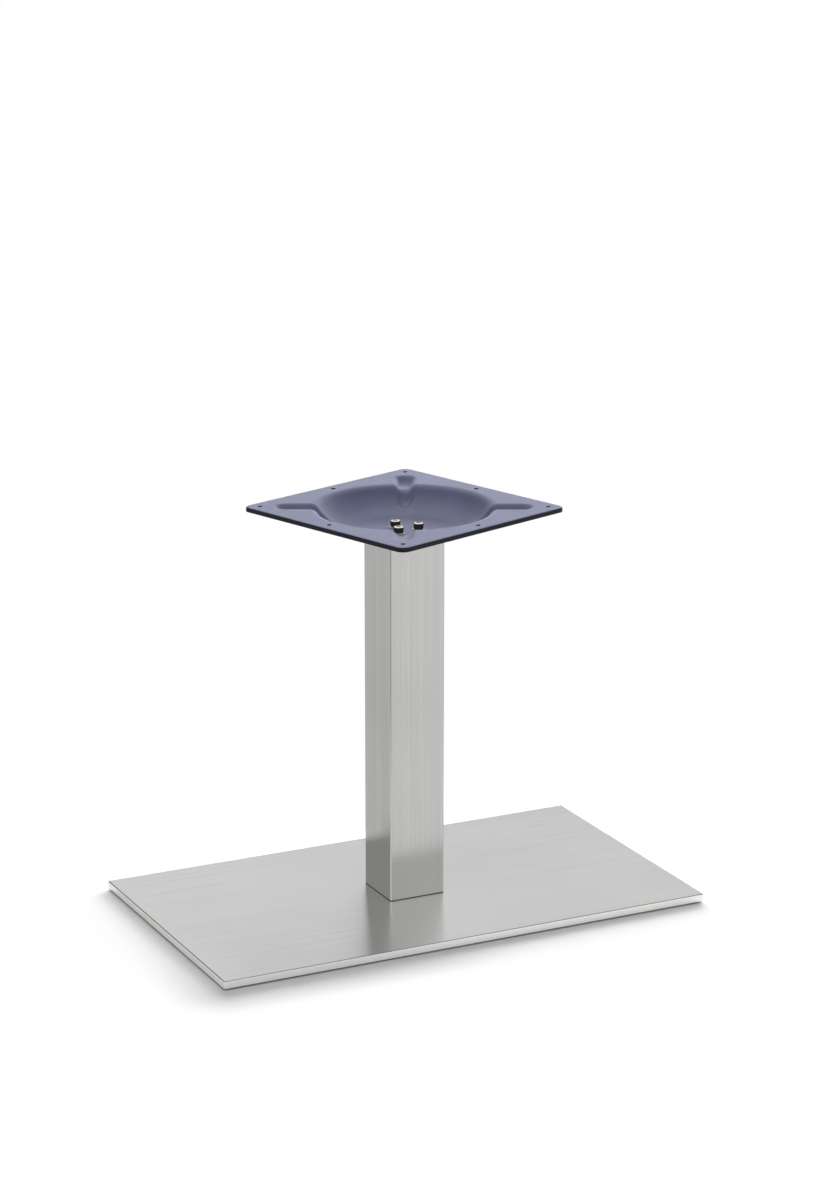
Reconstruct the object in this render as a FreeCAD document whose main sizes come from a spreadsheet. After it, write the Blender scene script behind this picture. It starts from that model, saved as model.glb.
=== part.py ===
import FreeCAD, Part
import math
import os
import Sketcher

# Pedestal table base: a heavy rectangular floor plate in a brushed stainless cover,
# a square brushed stainless column, and a square pressed steel head that a table top screws to.
# Length runs along X, width along Y, the floor is at zero height and the column stands on the Z axis.

V = FreeCAD.Vector

SIZES = [
    ("head_height", "543", "floor to the upper face of the pressed head"),
    ("base_length", "700", "floor plate, long side"),
    ("base_width", "400", "floor plate, short side"),
    ("base_depth", "10", "height of the cover's folded edge"),
    ("cover_sheet", "1.2", "stainless sheet of the cover"),
    ("cover_bend", "1.5", "outer radius of the cover's fold"),
    ("ground_gap", "2", "height of the cover's lower edge above the floor"),
    ("ballast_thickness", "8", "steel plate that gives the base its weight"),
    ("ballast_gap", "0.3", "room between the steel plate and the folded edges"),
    ("glide_diameter", "24", "nylon glide, flat head"),
    ("glide_stem", "8", "nylon glide, stem diameter"),
    ("glide_stem_length", "6", "nylon glide, stem length"),
    ("glide_play", "0.1", "socket of a glide over its stem"),
    ("glide_inset", "40", "glide axis to the outer faces of the cover"),
    ("column_size", "80", "square tube, outer size"),
    ("column_wall", "1.5", "square tube, wall"),
    ("column_corner", "3", "square tube, outer corner radius"),
    ("insert_gap", "0.2", "room between the tube and the plates welded into it"),
    ("foot_plate_thickness", "12", "tapped plate in the foot of the column"),
    ("head_plate_thickness", "10", "tapped plate in the top of the column"),
    ("thread_size", "8", "thread of all bolts"),
    ("thread_play", "0.1", "tapped holes over the thread"),
    ("clear_play", "1", "clearance holes over the thread"),
    ("foot_bolt_inset", "18", "foot bolt axis to the outer faces of the column"),
    ("foot_bolt_length", "20", "countersunk bolt, whole length"),
    ("foot_bolt_head", "16", "countersunk bolt, head diameter"),
    ("sink_play", "1", "countersink over the bolt's head"),
    ("head_bolt_circle", "38", "circle of the three head bolts"),
    ("bolt_turn", "8", "turn of the head bolts from a diagonal of the head, in degrees"),
    ("head_bolt_length", "16", "cap screw under its head"),
    ("head_bolt_head", "13", "cap screw, head diameter"),
    ("head_bolt_height", "8", "cap screw, head height"),
    ("washer_diameter", "16", "flat washer, outer diameter"),
    ("washer_play", "0.4", "flat washer, bore over the thread"),
    ("washer_thickness", "1.6", "flat washer, thickness"),
    ("key_small", "5", "hexagon key of the countersunk bolts"),
    ("key_large", "6", "hexagon key of the cap screws"),
    ("head_turn", "18.5", "turn of the head about the column, in degrees"),
    ("plate_side", "300", "pressed head, side"),
    ("plate_corner", "12", "pressed head, corner radius"),
    ("plate_sheet", "2.5", "pressed head, sheet"),
    ("rim_height", "6", "pressed head, height of the turned down edge"),
    ("rim_bend", "2.5", "pressed head, outer radius of the turned down edge"),
    ("bowl_depth", "32", "depth of the bowl"),
    ("bowl_border", "26", "flat left between the bowl and the middle of a side"),
    ("bowl_edge", "12", "radius of the rolled edge of the bowl"),
    ("bowl_floor", "64.5", "radius of the flat floor of the bowl"),
    ("channel_inset", "58", "end of a channel's axis to the square's sharp corner"),
    ("channel_radius", "14", "section radius of a channel"),
    ("channel_depth", "7.5", "depth of a channel"),
    ("channel_stop", "44", "slope of the bowl wall where a channel stops, in degrees"),
    ("channel_blend", "5", "soft upper edge of the channels"),
    ("channel_under", "3", "soft lower edge of the channels"),
    ("screw_hole", "6.5", "holes for the table top's screws"),
    ("corner_inset", "16.7", "corner holes to both near sides"),
    ("side_inset", "15", "side holes to their side"),
]

DERIVED = [
    ("tapped_hole", "=thread_size + thread_play"),
    ("clear_hole", "=thread_size + clear_play"),
    ("sink_diameter", "=foot_bolt_head + sink_play"),
    ("foot_bolt_spacing", "=column_size - 2 * foot_bolt_inset"),
    ("bowl_mouth", "=plate_side / 2 - bowl_border"),
    ("channel_end", "=plate_side / sqrt(2) - channel_inset"),
    ("corner_hole", "=plate_side / 2 - corner_inset"),
    ("side_hole", "=plate_side / 2 - side_inset"),
    ("ballast_low", "=ground_gap + base_depth - cover_sheet - ballast_thickness"),
    ("deck", "=ground_gap + base_depth"),
    ("bowl_bottom", "=head_height - bowl_depth - plate_sheet"),
    ("bowl_slope", "=2 * atan(bowl_depth / (bowl_mouth - bowl_floor))"),
    ("bowl_wall", "=(bowl_mouth - bowl_floor) / sin(bowl_slope) - bowl_edge"),
    ("channel_lift", "=channel_radius - channel_depth"),
    ("stop_out", "=bowl_floor + (bowl_wall - channel_lift) * sin(channel_stop)"),
    ("stop_up", "=bowl_wall - bowl_depth - (bowl_wall - channel_lift) * cos(channel_stop)"),
]

doc = FreeCAD.newDocument("pedestal_table_base")
sheet = doc.addObject("Spreadsheet::Sheet", "sizes")
row = 1
for name, text, note in SIZES:
    sheet.set("A%d" % row, name)
    sheet.set("B%d" % row, text)
    sheet.set("C%d" % row, note)
    sheet.setAlias("B%d" % row, name)
    row = row + 1
doc.recompute()
for name, formula in DERIVED:
    sheet.set("A%d" % row, name)
    sheet.set("B%d" % row, formula)
    sheet.setAlias("B%d" % row, name)
    row = row + 1
    doc.recompute()


def size(name):
    """Plain number of a named size, for the starting shape of a sketch."""
    value = sheet.get(name)
    return float(getattr(value, "Value", value))


def ref(text):
    """Turn the names of sizes in a formula into references to the sheet."""
    out = ""
    word = ""
    for letter in text + " ":
        if letter.isalnum() or letter in "_.":
            word = word + letter
            continue
        if word and word[0].isalpha() and word not in ("sin", "cos", "sqrt", "max"):
            word = "sizes." + word
        out = out + word + letter
        word = ""
    return out.strip()


def new_body(node):
    body = doc.addObject("PartDesign::Body", node)
    body.Label = node
    return body


def origin_part(body, role):
    for feature in body.Origin.OriginFeatures:
        if feature.Role == role:
            return feature
    raise ValueError(role)


def new_sketch(body, name, role="XY_Plane", level=None, turn=0.0):
    """Sketch on one of the body's own planes, lifted by a formula and turned in its plane."""
    sk = body.newObject("Sketcher::SketchObject", name)
    sk.AttachmentSupport = (origin_part(body, role), [""])
    sk.MapMode = "FlatFace"
    sk.AttachmentOffset = FreeCAD.Placement(V(0, 0, 0), FreeCAD.Rotation(V(0, 0, 1), turn))
    if level is not None:
        sk.setExpression("AttachmentOffset.Base.z", ref(level))
    return sk


def bind(sk, index, name, formula):
    sk.renameConstraint(index, name)
    sk.setExpression("Constraints." + name, ref(formula))


def add_box(sk, across, along, name="box"):
    """Rectangle centred on the sketch's origin."""
    a = 10.0
    first = sk.GeometryCount
    pts = [V(-a, -a, 0), V(a, -a, 0), V(a, a, 0), V(-a, a, 0)]
    for k in range(4):
        sk.addGeometry(Part.LineSegment(pts[k], pts[(k + 1) % 4]), False)
    for k in range(4):
        sk.addConstraint(Sketcher.Constraint("Coincident", first + k, 2, first + (k + 1) % 4, 1))
    sk.addConstraint(Sketcher.Constraint("Horizontal", first))
    sk.addConstraint(Sketcher.Constraint("Horizontal", first + 2))
    sk.addConstraint(Sketcher.Constraint("Vertical", first + 1))
    sk.addConstraint(Sketcher.Constraint("Vertical", first + 3))
    sk.addConstraint(Sketcher.Constraint("Symmetric", first, 1, first + 1, 2, -1, 1))
    n = sk.addConstraint(Sketcher.Constraint("DistanceX", first, 1, first, 2, 2 * a))
    bind(sk, n, name + "_across", across)
    n = sk.addConstraint(Sketcher.Constraint("DistanceY", first + 1, 1, first + 1, 2, 2 * a))
    bind(sk, n, name + "_along", along)


def add_circle(sk, diameter, x=0.0, y=0.0, x_text=None, y_text=None, name="hole"):
    """Circle at a centre given by formulas, or on the sketch's origin."""
    first = sk.GeometryCount
    sk.addGeometry(Part.Circle(V(x, y, 0), V(0, 0, 1), 3.0), False)
    if x_text is None and y_text is None:
        sk.addConstraint(Sketcher.Constraint("Coincident", first, 3, -1, 1))
    else:
        if x_text is None:
            sk.addConstraint(Sketcher.Constraint("PointOnObject", first, 3, -2))
        else:
            n = sk.addConstraint(Sketcher.Constraint("DistanceX", -1, 1, first, 3, x))
            bind(sk, n, name + "_x", x_text)
        if y_text is None:
            sk.addConstraint(Sketcher.Constraint("PointOnObject", first, 3, -1))
        else:
            n = sk.addConstraint(Sketcher.Constraint("DistanceY", -1, 1, first, 3, y))
            bind(sk, n, name + "_y", y_text)
    n = sk.addConstraint(Sketcher.Constraint("Diameter", first, 6.0))
    bind(sk, n, name + "_size", diameter)


def add_hexagon(sk, key):
    """Hexagon on the sketch's origin, its key width given by a formula."""
    first = sk.GeometryCount
    r = 3.0
    pts = [V(r * math.cos(math.radians(60 * k)), r * math.sin(math.radians(60 * k)), 0) for k in range(6)]
    for k in range(6):
        sk.addGeometry(Part.LineSegment(pts[k], pts[(k + 1) % 6]), False)
    ring = sk.GeometryCount
    sk.addGeometry(Part.Circle(V(0, 0, 0), V(0, 0, 1), r), True)
    sk.addConstraint(Sketcher.Constraint("Coincident", ring, 3, -1, 1))
    for k in range(6):
        sk.addConstraint(Sketcher.Constraint("Coincident", first + k, 2, first + (k + 1) % 6, 1))
        sk.addConstraint(Sketcher.Constraint("PointOnObject", first + k, 1, ring))
    for k in range(1, 6):
        sk.addConstraint(Sketcher.Constraint("Equal", first, first + k))
    sk.addConstraint(Sketcher.Constraint("PointOnObject", first, 1, -1))
    n = sk.addConstraint(Sketcher.Constraint("Diameter", ring, 2 * r))
    bind(sk, n, "corners", "2 * (" + key + ") / sqrt(3)")


def pad(body, sk, name, length, down=False):
    feature = body.newObject("PartDesign::Pad", name)
    feature.Profile = sk
    feature.setExpression("Length", ref(length))
    feature.Reversed = down
    sk.Visibility = False
    doc.recompute()
    return feature


def pocket(body, sk, name, length, up=False):
    """Cut below the sketch, or above it."""
    feature = body.newObject("PartDesign::Pocket", name)
    feature.Profile = sk
    feature.setExpression("Length", ref(length))
    feature.Reversed = up
    sk.Visibility = False
    doc.recompute()
    return feature


def edges_where(shape, test):
    names = []
    for k, edge in enumerate(shape.Edges):
        if test(edge):
            names.append("Edge%d" % (k + 1))
    return names


def soften(body, before, name, test, radius, kind="Fillet"):
    """Round or chamfer the edges of the last feature that pass the test."""
    names = edges_where(before.Shape, test)
    if not names:
        raise ValueError("no edge for " + name)
    feature = body.newObject("PartDesign::" + kind, name)
    feature.Base = (before, names)
    feature.setExpression("Size" if kind == "Chamfer" else "Radius", ref(radius))
    doc.recompute()
    return feature


def upright(edge):
    low = edge.BoundBox
    return low.XLength < 1e-4 and low.YLength < 1e-4 and low.ZLength > 1e-3


def level_at(height, reach=0.0):
    """Test for level edges at a height and at least a reach from the axis."""
    def test(edge):
        box = edge.BoundBox
        far = max(abs(box.XMin), abs(box.XMax), abs(box.YMin), abs(box.YMax))
        return abs(box.ZMin - height) < 1e-3 and abs(box.ZMax - height) < 1e-3 and far > reach
    return test


def ring_at(height, radius):
    """Test for full circles of a radius at a height."""
    def test(edge):
        box = edge.BoundBox
        flat = abs(box.ZMin - height) < 1e-3 and abs(box.ZMax - height) < 1e-3
        return flat and isinstance(edge.Curve, Part.Circle) and abs(edge.Curve.Radius - radius) < 1e-3
    return test


def four_circles(sk, diameter, half, start=0.0):
    """Circles on the corners of a square, half its side from both centre lines."""
    for k, (a, b) in enumerate(((1, 1), (-1, 1), (-1, -1), (1, -1))):
        x_text = half if a > 0 else "-(" + half + ")"
        y_text = half if b > 0 else "-(" + half + ")"
        add_circle(sk, diameter, a * 20.0, b * 20.0, x_text, y_text, "hole%d" % k)


# Floor cover: a shallow tray of stainless sheet, open below
cover = new_body("base_cover")
sk = new_sketch(cover, "cover_outline", level="ground_gap")
add_box(sk, "base_length", "base_width")
step = pad(cover, sk, "cover_block", "base_depth")
step = soften(cover, step, "cover_corners", upright, "cover_bend")
step = soften(cover, step, "cover_fold", level_at(size("deck"), 100), "cover_bend")
sk = new_sketch(cover, "cover_inside", level="deck - cover_sheet")
add_box(sk, "base_length - 2 * cover_sheet", "base_width - 2 * cover_sheet")
step = pocket(cover, sk, "cover_hollow", "base_depth")
sk = new_sketch(cover, "cover_bolts", level="deck")
four_circles(sk, "clear_hole", "foot_bolt_spacing / 2")
step = pocket(cover, sk, "cover_bolt_holes", "3 * cover_sheet")

# Ballast: the heavy steel plate inside the cover, countersunk from below, with sockets for the glides
ballast = new_body("ballast_plate")
sk = new_sketch(ballast, "ballast_outline", level="ballast_low")
add_box(
    sk,
    "base_length - 2 * cover_sheet - 2 * ballast_gap",
    "base_width - 2 * cover_sheet - 2 * ballast_gap",
)
step = pad(ballast, sk, "ballast_block", "ballast_thickness")
sk = new_sketch(ballast, "ballast_bolts", level="deck")
four_circles(sk, "clear_hole", "foot_bolt_spacing / 2")
step = pocket(ballast, sk, "ballast_bolt_holes", "base_depth")
mouth = ring_at(size("ballast_low"), size("clear_hole") / 2)
step = soften(ballast, step, "ballast_sinks", mouth, "(sink_diameter - clear_hole) / 2", "Chamfer")
sk = new_sketch(ballast, "ballast_glides", level="ballast_low")
for k, (a, b) in enumerate(((1, 1), (-1, 1), (-1, -1), (1, -1))):
    x_text = "base_length / 2 - glide_inset"
    y_text = "base_width / 2 - glide_inset"
    x_text = x_text if a > 0 else "-(" + x_text + ")"
    y_text = y_text if b > 0 else "-(" + y_text + ")"
    add_circle(sk, "glide_stem + glide_play", a * 300.0, b * 160.0, x_text, y_text, "hole%d" % k)
step = pocket(ballast, sk, "ballast_glide_sockets", "glide_stem_length + glide_play", up=True)

# Glides: four flat nylon feet pressed into the ballast from below
for k, (a, b) in enumerate(((1, 1), (-1, 1), (-1, -1), (1, -1))):
    glide = new_body("glide_%d" % (k + 1))
    sk = new_sketch(glide, "glide_outline_%d" % (k + 1))
    add_circle(sk, "glide_diameter")
    step = pad(glide, sk, "glide_head_%d" % (k + 1), "ballast_low")
    step = soften(
        glide,
        step,
        "glide_edge_%d" % (k + 1),
        ring_at(0.0, size("glide_diameter") / 2),
        "ballast_low / 3",
        "Chamfer",
    )
    sk = new_sketch(glide, "glide_stem_outline_%d" % (k + 1), level="ballast_low")
    add_circle(sk, "glide_stem")
    step = pad(glide, sk, "glide_stem_%d" % (k + 1), "glide_stem_length")
    side_x = "" if a > 0 else "-"
    side_y = "" if b > 0 else "-"
    glide.setExpression("Placement.Base.x", side_x + ref("(base_length / 2 - glide_inset)"))
    glide.setExpression("Placement.Base.y", side_y + ref("(base_width / 2 - glide_inset)"))

# Column: square stainless tube standing on the cover
column = new_body("column")
sk = new_sketch(column, "column_outline", level="deck")
add_box(sk, "column_size", "column_size")
step = pad(column, sk, "column_block", "bowl_bottom - deck")
step = soften(column, step, "column_outer_corners", upright, "column_corner")
sk = new_sketch(column, "column_inside", level="bowl_bottom")
add_box(sk, "column_size - 2 * column_wall", "column_size - 2 * column_wall")
step = pocket(column, sk, "column_bore", "bowl_bottom - deck + 1")
inside = size("column_size") / 2 - size("column_wall")


def inner_corner(edge):
    box = edge.BoundBox
    return upright(edge) and abs(abs(box.XMin) - inside) < 1e-3 and abs(abs(box.YMin) - inside) < 1e-3


step = soften(column, step, "column_inner_corners", inner_corner, "max(column_corner - column_wall; 0.3)")

# Tapped plates welded into the two ends of the column
foot = new_body("column_foot_plate")
sk = new_sketch(foot, "foot_outline", level="deck")
add_box(
    sk,
    "column_size - 2 * column_wall - 2 * insert_gap",
    "column_size - 2 * column_wall - 2 * insert_gap",
)
step = pad(foot, sk, "foot_block", "foot_plate_thickness")
step = soften(foot, step, "foot_corners", upright, "max(column_corner - column_wall; 0.3)")
sk = new_sketch(foot, "foot_threads", level="deck + foot_plate_thickness")
four_circles(sk, "tapped_hole", "foot_bolt_spacing / 2")
step = pocket(foot, sk, "foot_tapped_holes", "foot_plate_thickness + 1")

crown = new_body("column_head_plate")
sk = new_sketch(crown, "crown_outline", level="bowl_bottom - head_plate_thickness")
add_box(
    sk,
    "column_size - 2 * column_wall - 2 * insert_gap",
    "column_size - 2 * column_wall - 2 * insert_gap",
)
step = pad(crown, sk, "crown_block", "head_plate_thickness")
step = soften(crown, step, "crown_corners", upright, "max(column_corner - column_wall; 0.3)")
sk = new_sketch(crown, "crown_threads", level="bowl_bottom")
for k in range(3):
    turn = "(head_turn - 45 + bolt_turn + %d)" % (120 * k)
    angle = math.radians(size("head_turn") - 45 + size("bolt_turn") + 120 * k)
    add_circle(
        sk,
        "tapped_hole",
        19.0 * math.cos(angle),
        19.0 * math.sin(angle),
        "head_bolt_circle / 2 * cos" + turn,
        "head_bolt_circle / 2 * sin" + turn,
        "hole%d" % k,
    )
step = pocket(crown, sk, "crown_tapped_holes", "head_plate_thickness + 1")

# Foot bolts: countersunk, up through ballast and cover into the foot plate
for k, (a, b) in enumerate(((1, 1), (-1, 1), (-1, -1), (1, -1))):
    bolt = new_body("foot_bolt_%d" % (k + 1))
    tag = "_%d" % (k + 1)
    sk = new_sketch(bolt, "foot_bolt_outline" + tag)
    add_circle(sk, "foot_bolt_head")
    step = pad(bolt, sk, "foot_bolt_rim" + tag, "(foot_bolt_head - thread_size) / 2")
    top = (size("foot_bolt_head") - size("thread_size")) / 2
    cone = bolt.newObject("PartDesign::Groove", "foot_bolt_cone" + tag)
    sk = new_sketch(bolt, "foot_bolt_slope" + tag, "XZ_Plane")
    outer = size("foot_bolt_head") / 2
    inner = size("thread_size") / 2
    pts = [V(outer, 0, 0), V(outer + 1, 0, 0), V(outer + 1, top, 0), V(inner, top, 0)]
    for i in range(4):
        sk.addGeometry(Part.LineSegment(pts[i], pts[(i + 1) % 4]), False)
    for i in range(4):
        sk.addConstraint(Sketcher.Constraint("Coincident", i, 2, (i + 1) % 4, 1))
    sk.addConstraint(Sketcher.Constraint("PointOnObject", 0, 1, -1))
    sk.addConstraint(Sketcher.Constraint("Horizontal", 0))
    sk.addConstraint(Sketcher.Constraint("Vertical", 1))
    sk.addConstraint(Sketcher.Constraint("Horizontal", 2))
    n = sk.addConstraint(Sketcher.Constraint("DistanceX", -1, 1, 0, 1, outer))
    bind(sk, n, "head_reach", "foot_bolt_head / 2")
    n = sk.addConstraint(Sketcher.Constraint("DistanceX", 0, 1, 0, 2, 1.0))
    sk.renameConstraint(n, "outside")
    n = sk.addConstraint(Sketcher.Constraint("DistanceX", -1, 1, 3, 1, inner))
    bind(sk, n, "shank_reach", "thread_size / 2")
    n = sk.addConstraint(Sketcher.Constraint("DistanceY", -1, 1, 3, 1, top))
    bind(sk, n, "slope_height", "(foot_bolt_head - thread_size) / 2")
    cone.Profile = sk
    cone.ReferenceAxis = (sk, ["V_Axis"])
    cone.Angle = 360
    sk.Visibility = False
    doc.recompute()
    sk = new_sketch(bolt, "foot_bolt_shank_outline" + tag, level="(foot_bolt_head - thread_size) / 2")
    add_circle(sk, "thread_size")
    step = pad(
        bolt,
        sk,
        "foot_bolt_shank" + tag,
        "foot_bolt_length - (foot_bolt_head - thread_size) / 2",
    )
    sk = new_sketch(bolt, "foot_bolt_key" + tag)
    add_hexagon(sk, "key_small")
    step = pocket(bolt, sk, "foot_bolt_socket" + tag, "3", up=True)
    tip = ring_at(size("foot_bolt_length"), size("thread_size") / 2)
    step = soften(bolt, step, "foot_bolt_tip" + tag, tip, "thread_size / 10", "Chamfer")
    side_x = "" if a > 0 else "-"
    side_y = "" if b > 0 else "-"
    bolt.setExpression("Placement.Base.x", side_x + ref("(foot_bolt_spacing / 2)"))
    bolt.setExpression("Placement.Base.y", side_y + ref("(foot_bolt_spacing / 2)"))
    bolt.setExpression("Placement.Base.z", ref("ballast_low + (sink_diameter - foot_bolt_head) / 2"))


# Pressed head. Its own X axis runs along a diagonal of the square, where a channel lies,
# so the outlines are drawn turned by 45 degrees. Its own zero height is the upper face.
def half_section(body, name, drop, edge_text, close_up):
    """Half of the bowl's section: rim, rolled edge, wall and floor, closed along the axis."""
    sk = new_sketch(body, name, "XZ_Plane")
    low = size("plate_sheet") if drop else 0.0
    mouth_r = size("bowl_mouth")
    floor_r = size("bowl_floor")
    deep = size("bowl_depth") + low
    edge_r = size("bowl_edge") - low
    wall_r = size("bowl_wall") + low
    slope = math.radians(size("bowl_slope"))
    up = 5.0 if close_up else 0.0
    join_x = mouth_r - edge_r * math.sin(slope)
    join_y = -size("bowl_edge") + edge_r * math.cos(slope)
    quarter = math.pi / 2
    arc_a = Part.ArcOfCircle(
        Part.Circle(V(mouth_r, -size("bowl_edge"), 0), V(0, 0, 1), edge_r),
        quarter,
        quarter + slope,
    )
    arc_b = Part.ArcOfCircle(
        Part.Circle(V(floor_r, -deep + wall_r, 0), V(0, 0, 1), wall_r),
        3 * quarter,
        3 * quarter + slope,
    )
    top = -low + up
    g_edge = sk.addGeometry(arc_a, False)
    g_wall = sk.addGeometry(arc_b, False)
    g_floor = sk.addGeometry(Part.LineSegment(V(floor_r, -deep, 0), V(0, -deep, 0)), False)
    g_axis = sk.addGeometry(Part.LineSegment(V(0, -deep, 0), V(0, top, 0)), False)
    g_top = sk.addGeometry(Part.LineSegment(V(0, top, 0), V(mouth_r, top, 0)), False)
    if close_up:
        g_up = sk.addGeometry(Part.LineSegment(V(mouth_r, top, 0), V(mouth_r, -low, 0)), False)
    sk.addConstraint(Sketcher.Constraint("Tangent", g_edge, 2, g_wall, 2))
    sk.addConstraint(Sketcher.Constraint("Tangent", g_wall, 1, g_floor, 1))
    sk.addConstraint(Sketcher.Constraint("Coincident", g_floor, 2, g_axis, 1))
    sk.addConstraint(Sketcher.Constraint("Coincident", g_axis, 2, g_top, 1))
    sk.addConstraint(Sketcher.Constraint("Horizontal", g_floor))
    sk.addConstraint(Sketcher.Constraint("Horizontal", g_top))
    sk.addConstraint(Sketcher.Constraint("PointOnObject", g_floor, 2, -2))
    sk.addConstraint(Sketcher.Constraint("Vertical", g_axis))
    if close_up:
        sk.addConstraint(Sketcher.Constraint("Coincident", g_top, 2, g_up, 1))
        sk.addConstraint(Sketcher.Constraint("Coincident", g_up, 2, g_edge, 1))
        sk.addConstraint(Sketcher.Constraint("Vertical", g_up))
        n = sk.addConstraint(Sketcher.Constraint("DistanceY", g_up, 2, g_up, 1, up))
        sk.renameConstraint(n, "clear_above")
    else:
        sk.addConstraint(Sketcher.Constraint("Coincident", g_top, 2, g_edge, 1))
    sk.addConstraint(Sketcher.Constraint("Vertical", g_edge, 3, g_edge, 1))
    n = sk.addConstraint(Sketcher.Constraint("Radius", g_edge, edge_r))
    bind(sk, n, "edge_radius", edge_text)
    n = sk.addConstraint(Sketcher.Constraint("DistanceX", -1, 1, g_edge, 3, mouth_r))
    bind(sk, n, "mouth_radius", "bowl_mouth")
    n = sk.addConstraint(Sketcher.Constraint("DistanceY", g_edge, 3, -1, 1, size("bowl_edge")))
    bind(sk, n, "edge_drop", "bowl_edge")
    n = sk.addConstraint(Sketcher.Constraint("DistanceX", -1, 1, g_floor, 1, floor_r))
    bind(sk, n, "floor_radius", "bowl_floor")
    n = sk.addConstraint(Sketcher.Constraint("DistanceY", g_floor, 1, -1, 1, deep))
    bind(sk, n, "floor_depth", "bowl_depth" + (" + plate_sheet" if drop else ""))
    return sk


def channel_path(body, name):
    """Axis of a channel: level under the corner, over the rolled edge and down the bowl's wall."""
    sk = new_sketch(body, name, "XZ_Plane")
    lift = size("channel_lift")
    mouth_r = size("bowl_mouth")
    edge_r = size("bowl_edge") + lift
    wall_r = size("bowl_wall") - lift
    slope = math.radians(size("bowl_slope"))
    stop = math.radians(size("channel_stop"))
    quarter = math.pi / 2
    g_flat = sk.addGeometry(Part.LineSegment(V(size("channel_end"), lift, 0), V(mouth_r, lift, 0)), False)
    circle_a = Part.Circle(V(mouth_r, -size("bowl_edge"), 0), V(0, 0, 1), edge_r)
    g_edge = sk.addGeometry(Part.ArcOfCircle(circle_a, quarter, quarter + slope), False)
    middle_b = V(size("bowl_floor"), size("bowl_wall") - size("bowl_depth"), 0)
    circle_b = Part.Circle(middle_b, V(0, 0, 1), wall_r)
    g_wall = sk.addGeometry(Part.ArcOfCircle(circle_b, 3 * quarter + stop, 3 * quarter + slope), False)
    sk.addConstraint(Sketcher.Constraint("Horizontal", g_flat))
    sk.addConstraint(Sketcher.Constraint("Tangent", g_flat, 2, g_edge, 1))
    sk.addConstraint(Sketcher.Constraint("Tangent", g_edge, 2, g_wall, 2))
    n = sk.addConstraint(Sketcher.Constraint("DistanceX", -1, 1, g_flat, 1, size("channel_end")))
    bind(sk, n, "outer_end", "channel_end")
    n = sk.addConstraint(Sketcher.Constraint("DistanceY", -1, 1, g_flat, 1, lift))
    bind(sk, n, "axis_height", "channel_lift")
    n = sk.addConstraint(Sketcher.Constraint("DistanceX", -1, 1, g_edge, 3, mouth_r))
    bind(sk, n, "mouth_radius", "bowl_mouth")
    n = sk.addConstraint(Sketcher.Constraint("Radius", g_edge, edge_r))
    bind(sk, n, "edge_radius", "bowl_edge + channel_lift")
    n = sk.addConstraint(Sketcher.Constraint("DistanceX", -1, 1, g_wall, 3, size("bowl_floor")))
    bind(sk, n, "floor_radius", "bowl_floor")
    n = sk.addConstraint(Sketcher.Constraint("DistanceX", -1, 1, g_wall, 1, size("stop_out")))
    bind(sk, n, "inner_end", "stop_out")
    return sk


def channels(body, kind, tag, radius_text):
    """One channel swept along its path with round ends, then repeated at the four corners."""
    path = channel_path(body, "channel_path_" + tag)
    doc.recompute()
    ring = new_sketch(body, "channel_section_" + tag, "YZ_Plane", "channel_end")
    n_circle = ring.addGeometry(Part.Circle(V(0, size("channel_lift"), 0), V(0, 0, 1), 10.0), False)
    ring.addConstraint(Sketcher.Constraint("PointOnObject", n_circle, 3, -2))
    n = ring.addConstraint(Sketcher.Constraint("DistanceY", -1, 1, n_circle, 3, size("channel_lift")))
    bind(ring, n, "axis_height", "channel_lift")
    n = ring.addConstraint(Sketcher.Constraint("Radius", n_circle, 10.0))
    bind(ring, n, "section_radius", radius_text)
    doc.recompute()
    sweep = body.newObject("PartDesign::" + kind + "Pipe", "channel_sweep_" + tag)
    sweep.Profile = ring
    sweep.Spine = path
    path.Visibility = False
    ring.Visibility = False
    doc.recompute()
    made = [sweep]
    for where, out_text, up_text in (
        ("outer", "channel_end", "channel_lift"),
        ("inner", "stop_out", "stop_up"),
    ):
        ball = body.newObject("PartDesign::" + kind + "Sphere", "channel_%s_end_%s" % (where, tag))
        ball.AttachmentSupport = (origin_part(body, "XY_Plane"), [""])
        ball.MapMode = "FlatFace"
        ball.setExpression("AttachmentOffset.Base.x", ref(out_text))
        ball.setExpression("AttachmentOffset.Base.z", ref(up_text))
        ball.setExpression("Radius", ref(radius_text))
        doc.recompute()
        made.append(ball)
    pattern = body.newObject("PartDesign::PolarPattern", "channel_pattern_" + tag)
    pattern.Originals = made
    pattern.Axis = (origin_part(body, "Z_Axis"), [""])
    pattern.Angle = 360
    pattern.Occurrences = 4
    body.Tip = pattern
    doc.recompute()
    return pattern


plate = new_body("top_plate")
sk = new_sketch(plate, "plate_outline", turn=45)
add_box(sk, "plate_side", "plate_side")
step = pad(plate, sk, "plate_block", "rim_height", down=True)
sk = new_sketch(plate, "plate_underside", level="-plate_sheet", turn=45)
add_box(sk, "plate_side - 2 * plate_sheet", "plate_side - 2 * plate_sheet")
step = pocket(plate, sk, "plate_hollow", "rim_height")
corner_reach = (size("plate_side") / 2 - size("plate_sheet") / 2) * math.sqrt(2)


def hollow_corner(edge):
    return upright(edge) and math.hypot(edge.BoundBox.XMin, edge.BoundBox.YMin) < corner_reach


def block_corner(edge):
    return upright(edge) and math.hypot(edge.BoundBox.XMin, edge.BoundBox.YMin) > corner_reach


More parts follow.
